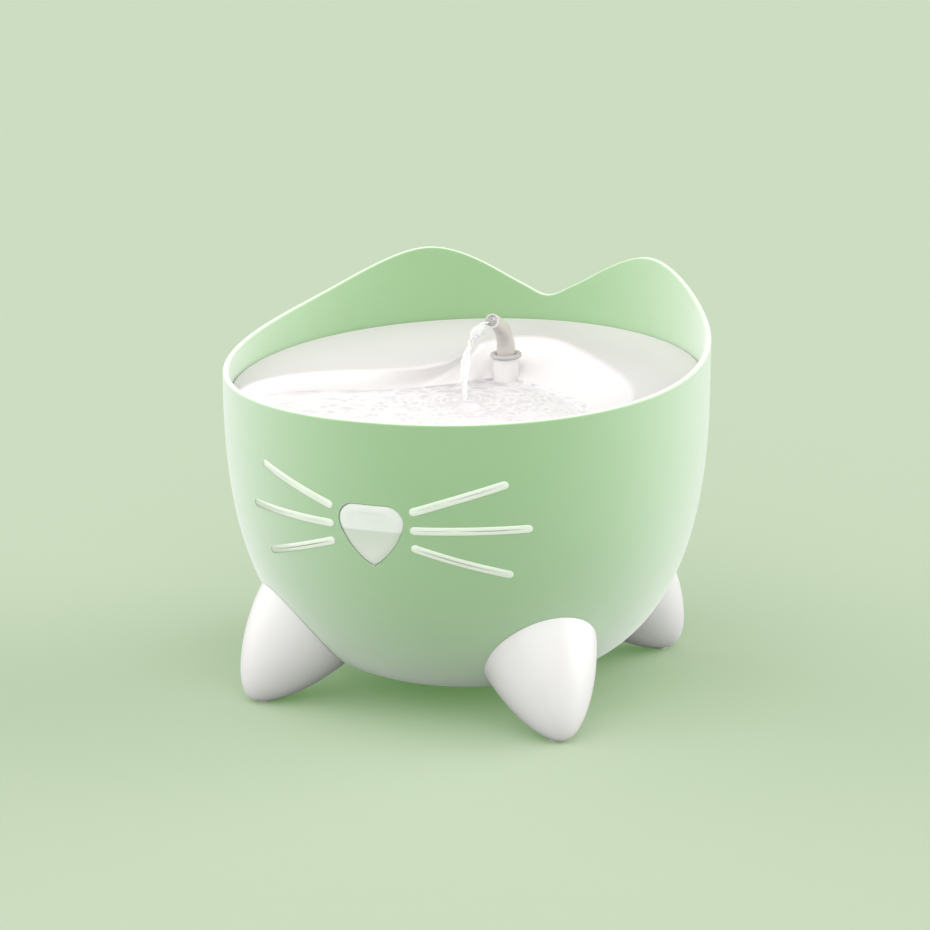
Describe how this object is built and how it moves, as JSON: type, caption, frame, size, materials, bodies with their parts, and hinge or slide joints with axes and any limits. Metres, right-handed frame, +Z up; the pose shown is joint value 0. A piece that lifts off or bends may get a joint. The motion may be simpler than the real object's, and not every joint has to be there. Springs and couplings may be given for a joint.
{
  "type": "pet water fountain",
  "caption": "Round bowl on conical feet with an ear-shaped back wall, a cat-face window, a lift-off drinking basin and a bent spout fed by a pump in a filter box.",
  "frame": {"origin": "on the floor under the middle of the bowl", "axes": "+Z up, +Y towards the ear-shaped back wall, so the face looks along -Y; +X is the viewer's right when facing it"},
  "size_m": [0.249, 0.2506, 0.211],
  "materials": {
    "bowl_plastic": "satin green, moulded",
    "white_plastic": "satin white, moulded",
    "window_plastic": "frosted clear, moulded",
    "seal_rubber": "soft grey",
    "pad_rubber": "soft light grey",
    "screw_steel": "stainless",
    "clear_plastic": "clear, smooth",
    "pump_plastic": "black, lightly textured",
    "coil_copper": "enamelled copper wire",
    "core_steel": "stacked plates",
    "magnet": "sintered ferrite",
    "shaft_steel": "ground",
    "impeller_plastic": "moulded",
    "media_carbon": "carbon granules in fleece",
    "foam_white": "open-cell foam"
  },
  "bodies": {
    "base": {"bowl": "bowl_plastic", "face_window": "window_plastic", "window_gasket": "seal_rubber", "foot_front_left": "white_plastic", "foot_front_right": "white_plastic", "foot_rear_right": "white_plastic", "foot_rear_left": "white_plastic", "foot_pad_front_left": "pad_rubber", "foot_pad_front_right": "pad_rubber", "foot_pad_rear_right": "pad_rubber", "foot_pad_rear_left": "pad_rubber", "foot_screws": "screw_steel", "cable_grommet": "seal_rubber", "pump_housing": "pump_plastic", "stator_core": "core_steel", "stator_coil": "coil_copper", "suction_cups": "seal_rubber", "rear_bush": "seal_rubber", "volute_plate": "pump_plastic", "pump_cover": "pump_plastic", "front_bush": "seal_rubber", "riser_tube": "clear_plastic", "filter_box": "white_plastic", "filter_frame": "white_plastic", "filter_media": "media_carbon", "filter_foam": "foam_white", "filter_lid": "white_plastic"},
    "top": {"drinking_top": "white_plastic", "spout_ring": "white_plastic"},
    "spout": {"spout": "clear_plastic"},
    "rotor": {"impeller": "impeller_plastic", "rotor_magnet": "magnet", "rotor_shaft": "shaft_steel"},
    "knob": {"flow_knob": "impeller_plastic"}
  },
  "joints": [
    {"name": "top_lift", "type": "slide", "parent": "base", "child": "top", "axis": [0, 0, 1], "range_m": [0, 0.12]},
    {"name": "spout_swivel", "type": "hinge", "parent": "top", "child": "spout", "pos_m": [0, 0.057, 0.162], "axis": [0, 0, 1], "range_deg": [-25, 25]},
    {"name": "impeller_spin", "type": "hinge", "parent": "base", "child": "rotor", "pos_m": [0, 0, 0.039], "axis": [0, 1, 0], "continuous": true},
    {"name": "flow_adjust", "type": "hinge", "parent": "base", "child": "knob", "pos_m": [0, 0, 0.039], "axis": [0, 1, 0], "range_deg": [0, 30]}
  ]
}
